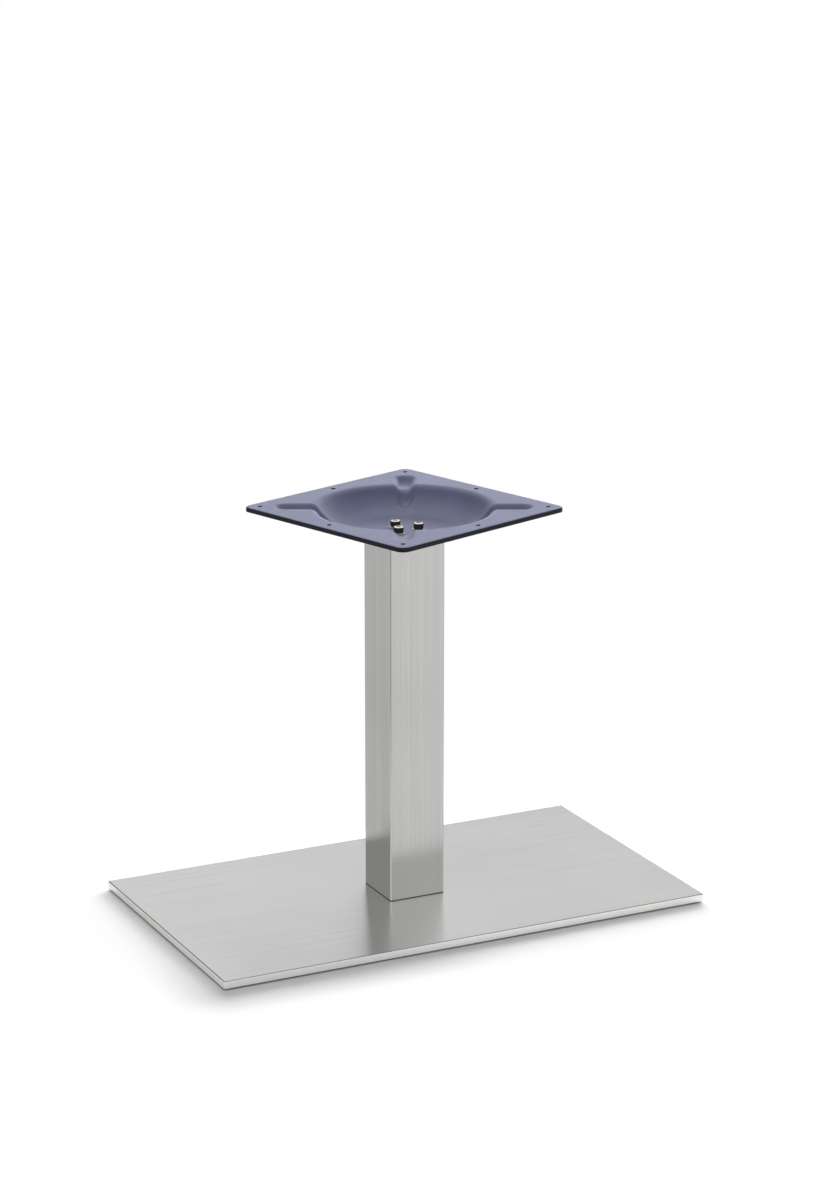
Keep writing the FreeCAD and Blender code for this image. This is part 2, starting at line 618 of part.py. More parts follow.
step = soften(plate, step, "plate_hollow_corners", hollow_corner, "max(plate_corner - plate_sheet; 0.5)")
step = soften(plate, step, "plate_corners", block_corner, "plate_corner")
step = soften(plate, step, "plate_bend", level_at(0.0, 50), "rim_bend")
outer_sketch = half_section(plate, "bowl_outside", True, "bowl_edge - plate_sheet", False)
doc.recompute()
bulge = plate.newObject("PartDesign::Revolution", "bowl_bulge")
bulge.Profile = outer_sketch
bulge.ReferenceAxis = (outer_sketch, ["V_Axis"])
bulge.Angle = 360
outer_sketch.Visibility = False
doc.recompute()
step = channels(plate, "Additive", "outside", "channel_radius + plate_sheet")
sk = new_sketch(plate, "plate_trim", turn=45)
add_box(sk, "plate_side + 20", "plate_side + 20")
step = pocket(plate, sk, "plate_level", "3 * channel_radius", up=True)
inner_sketch = half_section(plate, "bowl_inside", False, "bowl_edge", True)
doc.recompute()
scoop = plate.newObject("PartDesign::Groove", "bowl_hollow")
scoop.Profile = inner_sketch
scoop.ReferenceAxis = (inner_sketch, ["V_Axis"])
scoop.Angle = 360
inner_sketch.Visibility = False
doc.recompute()
step = channels(plate, "Subtractive", "inside", "channel_radius")


def channel_edges(shape, radius):
    """Edges between a channel's round faces and the rest of the sheet."""
    def is_channel(face):
        surface = face.Surface
        if isinstance(surface, (Part.Cylinder, Part.Sphere)):
            return abs(surface.Radius - radius) < 1e-3
        if isinstance(surface, Part.Toroid):
            return abs(surface.MinorRadius - radius) < 1e-3 and abs(surface.Axis.z) < 0.5
        return False

    names = []
    for k, edge in enumerate(shape.Edges):
        faces = shape.ancestorsOfType(edge, Part.Face)
        if len(faces) == 2 and is_channel(faces[0]) != is_channel(faces[1]):
            names.append("Edge%d" % (k + 1))
    return names


for tag, radius, radius_text in (
    ("upper", size("channel_radius"), "channel_blend"),
    ("lower", size("channel_radius") + size("plate_sheet"), "channel_under"),
):
    blend = plate.newObject("PartDesign::Fillet", "channel_blend_" + tag)
    blend.Base = (step, channel_edges(step.Shape, radius))
    blend.setExpression("Radius", ref(radius_text))
    doc.recompute()
    step = blend

sk = new_sketch(plate, "screw_holes", turn=45)
four_circles(sk, "screw_hole", "corner_hole")
for k, (a, b) in enumerate(((1, 0), (0, 1), (-1, 0), (0, -1))):
    sign = "" if a + b > 0 else "-"
    add_circle(
        sk,
        "screw_hole",
        a * 130.0,
        b * 130.0,
        sign + "side_hole" if a else None,
        sign + "side_hole" if b else None,
        "side%d" % k,
    )
step = pocket(plate, sk, "screw_hole_cut", "3 * plate_sheet")
sk = new_sketch(plate, "bowl_bolt_holes", level="-bowl_depth")
for k in range(3):
    turn = "(bolt_turn + %d)" % (120 * k)
    angle = math.radians(size("bolt_turn") + 120 * k)
    add_circle(
        sk,
        "clear_hole",
        19.0 * math.cos(angle),
        19.0 * math.sin(angle),
        "head_bolt_circle / 2 * cos" + turn,
        "head_bolt_circle / 2 * sin" + turn,
        "hole%d" % k,
    )
step = pocket(plate, sk, "bowl_bolt_hole_cut", "2 * plate_sheet")
plate.Placement = FreeCAD.Placement(V(0, 0, 0), FreeCAD.Rotation(V(0, 0, 1), 10))
plate.setExpression("Placement.Rotation.Angle", ref("head_turn - 45"))
plate.setExpression("Placement.Base.z", ref("head_height"))

# Head bolts: cap screws with washers, down through the bowl's floor into the column's head plate
for k in range(3):
    tag = "_%d" % (k + 1)
    turn = "(head_turn - 45 + bolt_turn + %d)" % (120 * k)
    washer = new_body("head_washer" + tag)
    sk = new_sketch(washer, "washer_outline" + tag)
    add_circle(sk, "washer_diameter", name="outer")
    add_circle(sk, "thread_size + washer_play", name="bore")
    step = pad(washer, sk, "washer_disc" + tag, "washer_thickness")
    washer.setExpression("Placement.Base.x", ref("head_bolt_circle / 2 * cos" + turn))
    washer.setExpression("Placement.Base.y", ref("head_bolt_circle / 2 * sin" + turn))
    washer.setExpression("Placement.Base.z", ref("head_height - bowl_depth"))

    bolt = new_body("head_bolt" + tag)
    sk = new_sketch(bolt, "head_bolt_outline" + tag)
    add_circle(sk, "head_bolt_head")
    step = pad(bolt, sk, "head_bolt_cap" + tag, "head_bolt_height")
    crest = ring_at(size("head_bolt_height"), size("head_bolt_head") / 2)
    step = soften(bolt, step, "head_bolt_edge" + tag, crest, "head_bolt_height / 10", "Chamfer")
    sk = new_sketch(bolt, "head_bolt_shank_outline" + tag)
    add_circle(sk, "thread_size")
    step = pad(bolt, sk, "head_bolt_shank" + tag, "head_bolt_length", down=True)
    tip = ring_at(-size("head_bolt_length"), size("thread_size") / 2)
    step = soften(bolt, step, "head_bolt_tip" + tag, tip, "thread_size / 10", "Chamfer")
    sk = new_sketch(bolt, "head_bolt_key" + tag, level="head_bolt_height")
    add_hexagon(sk, "key_large")
    step = pocket(bolt, sk, "head_bolt_socket" + tag, "head_bolt_height / 2")
    bolt.setExpression("Placement.Base.x", ref("head_bolt_circle / 2 * cos" + turn))
    bolt.setExpression("Placement.Base.y", ref("head_bolt_circle / 2 * sin" + turn))
    bolt.setExpression("Placement.Base.z", ref("head_height - bowl_depth + washer_thickness"))

doc.recompute()

# Every feature must have built, and every piece is one valid solid
for item in doc.Objects:
    if "Invalid" in item.State or "Error" in item.State:
        raise RuntimeError("%s did not build" % item.Name)

os.makedirs("parts", exist_ok=True)
for body in doc.Objects:
    if body.TypeId != "PartDesign::Body":
        continue
    shape = body.Shape
    if shape.isNull() or not shape.isValid() or len(shape.Solids) != 1:
        raise RuntimeError("%s is not one valid solid" % body.Label)
    shape.exportStep("parts/" + body.Label + ".step")
    box = shape.BoundBox
    print(
        "%-18s %10.1f mm3  x %7.1f %7.1f  y %7.1f %7.1f  z %6.1f %6.1f"
        % (body.Label, shape.Volume, box.XMin, box.XMax, box.YMin, box.YMax, box.ZMin, box.ZMax)
    )
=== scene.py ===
import math

import bmesh
import bpy
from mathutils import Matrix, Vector


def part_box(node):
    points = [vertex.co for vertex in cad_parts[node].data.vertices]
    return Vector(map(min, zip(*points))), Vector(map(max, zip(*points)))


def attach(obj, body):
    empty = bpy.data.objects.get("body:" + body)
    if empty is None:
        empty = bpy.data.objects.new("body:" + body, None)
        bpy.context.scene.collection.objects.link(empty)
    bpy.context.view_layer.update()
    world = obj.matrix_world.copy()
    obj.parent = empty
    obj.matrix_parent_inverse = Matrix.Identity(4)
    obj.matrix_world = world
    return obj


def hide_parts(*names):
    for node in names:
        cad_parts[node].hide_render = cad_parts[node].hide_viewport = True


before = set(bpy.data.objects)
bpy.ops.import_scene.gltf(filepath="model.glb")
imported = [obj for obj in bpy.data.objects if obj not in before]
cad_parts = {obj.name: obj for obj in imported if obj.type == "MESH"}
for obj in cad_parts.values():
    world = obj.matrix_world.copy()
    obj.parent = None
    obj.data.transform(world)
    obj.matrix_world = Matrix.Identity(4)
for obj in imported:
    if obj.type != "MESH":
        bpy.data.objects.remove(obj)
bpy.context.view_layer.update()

# Pedestal table base: brushed stainless foot and column under a square pressed steel head.
# The head, its cap screws and their washers are built here; the other nodes keep their solids.

bl_info = {
    "name": "Pedestal table base",
    "version": (1, 0, 0),
    "blender": (4, 5, 0),
    "location": "View3D > Sidebar > Table base",
    "description": "Builds the looks of a pedestal table base around its packed solids",
    "category": "Object",
}


def centre_of(node):
    low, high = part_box(node)
    return (low + high) / 2


def span_of(node):
    low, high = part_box(node)
    return high - low


HEAD_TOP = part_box("top_plate")[1].z
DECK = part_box("base_cover")[1].z
FOOT_SPAN = span_of("base_cover")
COLUMN_SPAN = span_of("column")

WHITE = (1.0, 1.0, 1.0, 1.0)

# Heights nearer than this count as the same; the second one is for the edges of a washer
NEAR = 1e-6
NEARER = 1e-7

# A face looks up or down when its normal does so by more than this
FACING = 0.9

# Most values of a noise texture lie between these two
NOISE_LOW = 0.3
NOISE_HIGH = 0.7

# How much of the brushed steel's unevenness is in its lines, and how much in its clouds
LINE_SHARE = 0.65
CLOUD_SHARE = 0.35

# The cover's normal turns from up to level round its fold. Each pair holds how far it points up
# where something starts and where that is complete: the painted reflection, a lighter colour on
# the edge below the fold, the line of painted shade above it, and the end of that line
FOLD_REFLECTION = (0.62, 0.35)
FOLD_SHADE_TOP = (0.985, 0.93)
FOLD_SHADE_END = (0.62, 0.45)
FOLD_SHADE = (0.14, 0.137, 0.13, 1.0)

# The tube's corners carry a painted shade that turns to a painted highlight between these heights
# over the floor, in a strip that starts and is complete at these distances from the next face
CORNER_LIGHT_HEIGHTS = (0.31, 0.14)
CORNER_PAINTED_SHADE = (0.36, 0.36, 0.355, 1.0)
CORNER_PAINTED_HIGHLIGHT = (1.0, 1.0, 0.99, 1.0)
CORNER_LIGHT_START = 0.0014
CORNER_LIGHT_FULL = 0.0011

# The joint line round the tube starts and is complete at these heights over the foot
JOINT_LINE = (0.06, 0.055, 0.05, 1.0)
JOINT_START = 0.0016
JOINT_FULL = 0.0006

# The solids' own skins have points this near joined, and are sharp from this angle
WELD_DISTANCE = 2e-6
SHARP_ANGLE = 32

# A channel starts this far from the middle of the head and comes to its full depth over the fade
CHANNEL_START = 0.088
CHANNEL_FADE = 0.022
# Half its width, the part of that in its soft shoulder, and the shares of the half width that it
# starts with and gains over the fade
CHANNEL_HALF = 0.0158
CHANNEL_SHOULDER = 0.0115
CHANNEL_NARROW = 0.7
CHANNEL_GAIN = 0.3

# Faces round a corner of the head, and over the bend of its turned down edge
CORNER_STEPS = 10
BEND_STEPS = 5

# The coat with painted shade is on faces whose normal points up or down by no more than the first
# number, this near the outline or the wall of a screw hole
STEEP = 0.8
EDGE_BAND = 0.0008
HOLE_BAND = 0.0001

# Heights from the head's top that the punches reach from and to
RIM_PUNCH = (-0.01, 0.01)
FLOOR_PUNCH = (-0.05, -0.02)
PUNCH_SIDES = 32

# Cap screws: the soft upper edge, the knurls, the tip, and how far the socket's tool stands out
HEAD_BEVEL = 0.0009
KNURL_INSET = 0.00012
KNURL_DEPTH = 0.0002
TIP_CHAMFER = 0.0008
SOCKET_OVER = 0.002

# Washers: sides, the bore's clearance round the shank, how far its tool stands out, the soft
# edges, and a length that the steps round the washer stay under
WASHER_SIDES = 64
BORE_SIDES = 48
BORE_CLEARANCE = 0.0002
BORE_OVER = 0.001
WASHER_BEVEL = 0.00025
RING_STEP = 0.0012

# The camera, as fitted to the corners in the photo
CAMERA_PLACE = (-1.9165, -3.9158, 1.6683)
CAMERA_SIDE = math.radians(-26.23)
CAMERA_RISE = math.radians(16.03)
CAMERA_LENS = 103.22
SENSOR_WIDTH = 36.0
CAMERA_REACH = 100.0


# Settings a user would change


class HeadSettings(bpy.types.PropertyGroup):
    turn: bpy.props.FloatProperty(
        name="Turn", description="Turn of the head about the column",
        default=math.radians(18.5), subtype="ANGLE")
    side: bpy.props.FloatProperty(
        name="Side", description="Side of the square head", default=0.300, unit="LENGTH")
    corner: bpy.props.FloatProperty(
        name="Corner", description="Corner radius of the head", default=0.012, unit="LENGTH")
    sheet: bpy.props.FloatProperty(
        name="Sheet", description="Thickness of the pressed sheet", default=0.0025, unit="LENGTH")
    rim: bpy.props.FloatProperty(
        name="Rim", description="Height of the turned down edge", default=0.006, unit="LENGTH")
    bend: bpy.props.FloatProperty(
        name="Bend", description="Radius of the turned down edge", default=0.0025, unit="LENGTH")
    mouth: bpy.props.FloatProperty(
        name="Bowl mouth", description="Radius of the bowl at its mouth", default=0.124, unit="LENGTH")
    roll: bpy.props.FloatProperty(
        name="Rolled edge", description="Radius of the bowl's rolled edge", default=0.012, unit="LENGTH")
    floor: bpy.props.FloatProperty(
        name="Bowl floor", description="Radius of the bowl's flat floor", default=0.0645, unit="LENGTH")
    depth: bpy.props.FloatProperty(
        name="Bowl depth", description="Depth of the bowl", default=0.032, unit="LENGTH")
    channel: bpy.props.FloatProperty(
        name="Channel depth", description="Depth of the corner channels", default=0.0080, unit="LENGTH")
    channel_end: bpy.props.FloatProperty(
        name="Channel end", description="Middle of the head to the end of a channel's middle line",
        default=0.1545, unit="LENGTH")
    screw_hole: bpy.props.FloatProperty(
        name="Screw holes", description="Diameter of the holes for the table top's screws",
        default=0.0065, unit="LENGTH")
    corner_hole: bpy.props.FloatProperty(
        name="Corner holes", description="Corner holes to the middle lines of the head",
        default=0.1333, unit="LENGTH")
    side_hole: bpy.props.FloatProperty(
        name="Side holes", description="Side holes to the middle of the head",
        default=0.135, unit="LENGTH")
    mesh_step: bpy.props.FloatProperty(
        name="Mesh step", description="Size of the faces that the sheet is pressed with",
        default=0.002, unit="LENGTH")
    coat: bpy.props.FloatVectorProperty(
        name="Powder coat", description="Colour of the powder coat", size=3,
        default=(0.155, 0.168, 0.288), subtype="COLOR", min=0.0, max=1.0)
    # Painted shade: the turned down edge and the walls of the screw holes get this very dark copy of the
    # coat
    edge_painted_shade: bpy.props.FloatVectorProperty(
        name="Edge coat", description="Colour of the powder coat round the turned down edge", size=3,
        default=(0.016, 0.016, 0.024), subtype="COLOR", min=0.0, max=1.0)


class BoltSettings(bpy.types.PropertyGroup):
    head: bpy.props.FloatProperty(
        name="Head height", description="Height of a cap screw's head", default=0.008, unit="LENGTH")
    shank: bpy.props.FloatProperty(
        name="Shank", description="Diameter of a cap screw's shank", default=0.008, unit="LENGTH")
    key: bpy.props.FloatProperty(
        name="Key", description="Hexagon key across its flats", default=0.006, unit="LENGTH")
    clear: bpy.props.FloatProperty(
        name="Clearance holes", description="Diameter of the holes in the head for the bolts",
        default=0.009, unit="LENGTH")
    knurls: bpy.props.IntProperty(
        name="Knurls", description="Ribs round a cap screw's head", default=36, min=12, max=72)
    plating: bpy.props.FloatVectorProperty(
        name="Plating", description="Colour of the plated bolts", size=3,
        default=(0.86, 0.82, 0.70), subtype="COLOR", min=0.0, max=1.0)
    # Painted shade: the heads' sides are painted very dark, as they look where they mirror the dark dish
    painted_side_shade: bpy.props.FloatVectorProperty(
        name="Sides with painted shade", description="Colour of the painted shade on the sides of the heads", size=3,
        default=(0.045, 0.04, 0.038), subtype="COLOR", min=0.0, max=1.0)


class SteelSettings(bpy.types.PropertyGroup):
    foot: bpy.props.FloatVectorProperty(
        name="Foot", description="Colour of the brushed cover", size=3,
        default=(0.575, 0.575, 0.57), subtype="COLOR", min=0.0, max=1.0)
    # Painted reflection: the edges round the fold are painted lighter than the brushed top, as bright as
    # they look where they mirror the floor
    painted_fold_reflection: bpy.props.FloatVectorProperty(
        name="Folded edge", description="Colour of the cover's folded edges", size=3,
        default=(0.91, 0.90, 0.88), subtype="COLOR", min=0.0, max=1.0)
    column: bpy.props.FloatVectorProperty(
        name="Column", description="Colour of the brushed tube", size=3,
        default=(0.615, 0.615, 0.605), subtype="COLOR", min=0.0, max=1.0)


class StageSettings(bpy.types.PropertyGroup):
    sky: bpy.props.FloatProperty(
        name="Sky", description="Strength of the even light from all round", default=0.29, min=0.0)
    key: bpy.props.FloatProperty(
        name="Key", description="Power of the soft lamp from above",
        default=12.0, min=0.0, subtype="POWER")
    back: bpy.props.FloatProperty(
        name="Back light", description="Power of the soft lamp from behind",
        default=270.0, min=0.0, subtype="POWER")
    floor: bpy.props.FloatProperty(
        name="Floor", description="Reach of the floor", default=60.0, unit="LENGTH")


# Materials


def new_material(name):
    material = bpy.data.materials.new(name)
    material.use_nodes = True
    tree = material.node_tree
    return material, tree, tree.nodes["Principled BSDF"]


def fill(tree, node, sources):
    """Link or set a node's inputs, by their names or places."""
    for key, source in sources.items():
        if isinstance(source, bpy.types.NodeSocket):
            tree.links.new(source, node.inputs[key])
        else:
            node.inputs[key].default_value = source


def add(tree, kind, sources, **values):
    """Add a node, set its properties and then fill its inputs."""
    node = tree.nodes.new(kind)
    for key, value in values.items():
        setattr(node, key, value)
    fill(tree, node, sources)
    return node


def maths(tree, operation, *sources):
    node = add(tree, "ShaderNodeMath", dict(enumerate(sources)), operation=operation)
    return node.outputs["Value"]


def vectors(tree, operation, *sources):
    """Vector math: a length or a dot product gives a value, all else a vector."""
    node = add(tree, "ShaderNodeVectorMath", dict(enumerate(sources)), operation=operation)
    return node.outputs["Value" if operation in ("LENGTH", "DOT_PRODUCT") else "Vector"]


def carried(tree, value, low, high, first=0.0, last=1.0, kind="LINEAR"):
    """Carry a value over from one range to another, held at its ends."""
    node = add(tree, "ShaderNodeMapRange", {
        "Value": value, "From Min": low, "From Max": high, "To Min": first, "To Max": last,
    }, interpolation_type=kind)
    return node.outputs["Result"]


def from_noise(tree, value, first, last):
    return carried(tree, value, NOISE_LOW, NOISE_HIGH, first, last)


def mixed(tree, factor, under, colour):
    mix = add(tree, "ShaderNodeMix", {"Factor": factor, "A": under, "B": colour}, data_type="RGBA")
    return mix.outputs["Result"]


def shaded_colour(tree, factor, colour, dark, bright):
    """Mix between a darker and a brighter version of a colour."""
    darker = [c * dark for c in colour] + [1.0]
    brighter = [min(1.0, c * bright) for c in colour] + [1.0]
    return mixed(tree, factor, darker, brighter)


def over(tree, under, colour, value, low, high):
    """One colour over another, by where a value lies between two ends."""
    return mixed(tree, carried(tree, value, low, high), under, colour)


def stretched_noise(tree, scale, detail, roughness):
    """Noise on Object coordinates, stretched by a different scale along each axis."""
    place = add(tree, "ShaderNodeTexCoord", {})
    mapping = add(tree, "ShaderNodeMapping", {"Vector": place.outputs["Object"], "Scale": scale})
    noise = add(tree, "ShaderNodeTexNoise", {
        "Vector": mapping.outputs["Vector"], "Scale": 1.0, "Detail": detail, "Roughness": roughness})
    return noise.outputs["Fac"]


def bumped(tree, height, strength, distance):
    """A normal raised and sunk a little by a texture."""
    bump = add(tree, "ShaderNodeBump", {
        "Height": height, "Strength": strength, "Distance": distance})
    return bump.outputs["Normal"]


def brushed_steel(name, colour, spread, scale, grain, painted_fold_reflection=None, tube=None):
    """Brushed stainless: fine lines along the grain, soft clouds, gloss spread across the grain.

    A fold may have a painted reflection, a lighter colour on its edge, under a thin line of painted
    shade. A tube that stands at one height may have a dark joint line at its foot, and corners
    with painted shade up high that turns to a painted highlight on the way down to it.
    """
    material, tree, shader = new_material(name)
    lines = stretched_noise(tree, scale, 7.0, 0.72)
    clouds = stretched_noise(tree, (5.0, 5.0, 5.0), 3.0, 0.5)
    cloudy = maths(tree, "MULTIPLY", from_noise(tree, clouds, 0.0, 1.0), CLOUD_SHARE)
    blend = maths(tree, "MULTIPLY_ADD", from_noise(tree, lines, 0.0, 1.0), LINE_SHARE, cloudy)
    shown = shaded_colour(tree, blend, colour, *spread)
    surface = add(tree, "ShaderNodeNewGeometry", {})
    # Painted reflection and painted shade: faces that turn level round the fold get the lighter colour,
    # and a thin line of painted shade lies where the bend starts
    if painted_fold_reflection:
        parts = add(tree, "ShaderNodeSeparateXYZ", {"Vector": surface.outputs["Normal"]})
        upward = parts.outputs["Z"]
        edge = shaded_colour(tree, blend, painted_fold_reflection, 0.95, 1.04)
        shown = over(tree, shown, edge, upward, *FOLD_REFLECTION)
        line = over(tree, shown, FOLD_SHADE, upward, *FOLD_SHADE_TOP)
        shown = over(tree, line, shown, upward, *FOLD_SHADE_END)
    if tube:
        foot, half = tube
        place = add(tree, "ShaderNodeTexCoord", {})
        flat = vectors(tree, "ABSOLUTE", place.outputs["Object"])
        parts = add(tree, "ShaderNodeSeparateXYZ", {"Vector": flat}).outputs
        # Painted shade high on the corners and a painted highlight low down, where they mirror the
        # bright floor
        corner = maths(tree, "MINIMUM", parts["X"], parts["Y"])
        edge = over(tree, CORNER_PAINTED_SHADE, CORNER_PAINTED_HIGHLIGHT, parts["Z"], *CORNER_LIGHT_HEIGHTS)
        shown = over(tree, shown, edge, corner, half - CORNER_LIGHT_START, half - CORNER_LIGHT_FULL)
        shown = over(tree, shown, JOINT_LINE, parts["Z"], foot + JOINT_START, foot + JOINT_FULL)
    fill(tree, shader, {
        "Base Color": shown,
        "Roughness": from_noise(tree, blend, 0.25, 0.21),
        "Normal": bumped(tree, lines, 0.05, 0.0001),
        "Metallic": 1.0,
        "Anisotropic": 0.95,
        "Tangent": vectors(tree, "CROSS_PRODUCT", surface.outputs["True Normal"], grain),
    })
    return material


def powder_coat(name, colour, sheen):
    """Satin powder coat: fine orange peel and a faint unevenness of colour."""
    material, tree, shader = new_material(name)
    peel = stretched_noise(tree, (900.0, 900.0, 900.0), 2.0, 0.5)
    clouds = stretched_noise(tree, (14.0, 14.0, 14.0), 3.0, 0.5)
    cloudy = from_noise(tree, clouds, 0.0, 1.0)
    fill(tree, shader, {
        "Base Color": shaded_colour(tree, cloudy, colour, 0.94, 1.06),
        "Roughness": from_noise(tree, peel, 0.42, 0.50),
        "Normal": bumped(tree, peel, 0.05, 0.0002),
        "Specular IOR Level": 0.4 * sheen,
        "Specular Tint": (0.82, 0.86, 1.0, 1.0),
        "Coat Weight": 0.22 * sheen,
        "Coat Roughness": 0.34,
    })
    return material


def plain_metal(name, colour, rough, grain, metallic=1.0):
    """Metal, paint or plastic with a fine even grain."""
    material, tree, shader = new_material(name)
    noise = stretched_noise(tree, (grain, grain, grain), 4.0, 0.6)
    factor = from_noise(tree, noise, 0.0, 1.0)
    fill(tree, shader, {
        "Base Color": shaded_colour(tree, factor, colour, 0.88, 1.1),
        "Roughness": from_noise(tree, noise, *rough),
        "Normal": bumped(tree, noise, 0.08, 0.0001),
        "Metallic": metallic,
    })
    return material


def give(obj, *materials):
    obj.data.materials.clear()
    for material in materials:
        obj.data.materials.append(material)


# Modelling helpers


def deselect():
    if bpy.context.mode != "OBJECT":
        bpy.ops.object.mode_set(mode="OBJECT")
    bpy.ops.object.select_all(action="DESELECT")


def pick(obj):
    deselect()
    obj.select_set(True)
    bpy.context.view_layer.objects.active = obj


def choose(obj, kind, test):
    """Go to edit mode and select the vertices, edges or faces that pass a test."""
    if bpy.context.mode != "EDIT_MESH":
        bpy.ops.object.mode_set(mode="EDIT")
    bpy.ops.mesh.select_mode(type=kind)
    bpy.ops.mesh.select_all(action="DESELECT")
    mesh = bmesh.from_edit_mesh(obj.data)
    for item in {"VERT": mesh.verts, "EDGE": mesh.edges, "FACE": mesh.faces}[kind]:
        if test(item):
            item.select_set(True)
    mesh.select_flush_mode()
    bmesh.update_edit_mesh(obj.data)


def new_cylinder(name, sides, radius, low, high, x=0.0, y=0.0):
    deselect()
    bpy.ops.mesh.primitive_cylinder_add(
        vertices=sides, radius=radius, depth=high - low, location=(x, y, (low + high) / 2))
    obj = bpy.context.active_object
    obj.name = name
    return obj


def settle(obj):
    """Put the object's place and turn into its mesh."""
    pick(obj)
    bpy.ops.object.transform_apply(location=True, rotation=True, scale=True)


def cut(obj, tool):
    """Cut one piece out of another and drop the tool."""
    pick(obj)
    modifier = obj.modifiers.new("Cut", "BOOLEAN")
    modifier.operation = "DIFFERENCE"
    modifier.solver = "EXACT"
    modifier.object = tool
    bpy.ops.object.modifier_apply(modifier=modifier.name)
    bpy.data.objects.remove(tool, do_unlink=True)


def smooth(obj, angle):
    pick(obj)
    bpy.ops.object.shade_smooth_by_angle(angle=math.radians(angle))
    deselect()


def smooth_node(node, material):
    """Give a node's own skin a material and round shading, with its points left as they are."""
    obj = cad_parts[node]
    give(obj, material)
    obj.data.polygons.foreach_set("use_smooth", [True] * len(obj.data.polygons))
    weld = obj.modifiers.new("Join", "WELD")
    weld.merge_threshold = WELD_DISTANCE
    split = obj.modifiers.new("Sharp edges", "EDGE_SPLIT")
    split.split_angle = math.radians(SHARP_ANGLE)


def seat(piece, node):
    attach(piece, "root")
    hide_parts(node)


# Pieces


class TABLEBASE_OT_foot(bpy.types.Operator):
    """Brushed cover, steel plate and glides of the foot"""
    bl_idname = "tablebase.foot"
    bl_label = "Foot"

    def execute(self, context):
        steel = context.scene.table_base_steel
        smooth_node("base_cover", brushed_steel(
            "Brushed cover", steel.foot, spread=(0.95, 1.03), scale=(1.2, 240.0, 240.0),
            grain=(1.0, 0.04, 0.03), painted_fold_reflection=steel.painted_fold_reflection))
        smooth_node("ballast_plate", plain_metal(
            "Black primed steel", (0.035, 0.035, 0.038), rough=(0.45, 0.6), grain=260.0,
            metallic=0.0))
        nylon = plain_metal(
            "Black nylon", (0.03, 0.03, 0.03), rough=(0.4, 0.55), grain=500.0, metallic=0.0)
        for k in range(4):
            smooth_node("glide_%d" % (k + 1), nylon)
        return {"FINISHED"}


class TABLEBASE_OT_column(bpy.types.Operator):
    """Brushed square tube and the plates welded into it"""
    bl_idname = "tablebase.column"
    bl_label = "Column"

    def execute(self, context):
        steel = context.scene.table_base_steel
        smooth_node("column", brushed_steel(
            "Brushed tube", steel.column, spread=(0.92, 1.06), scale=(230.0, 230.0, 1.5),
            grain=(0.04, 0.03, 1.0), tube=(DECK, COLUMN_SPAN.x / 2)))
        mill = plain_metal("Mill steel", (0.20, 0.195, 0.19), rough=(0.4, 0.6), grain=120.0)
        smooth_node("column_foot_plate", mill)
        smooth_node("column_head_plate", mill)
        return {"FINISHED"}


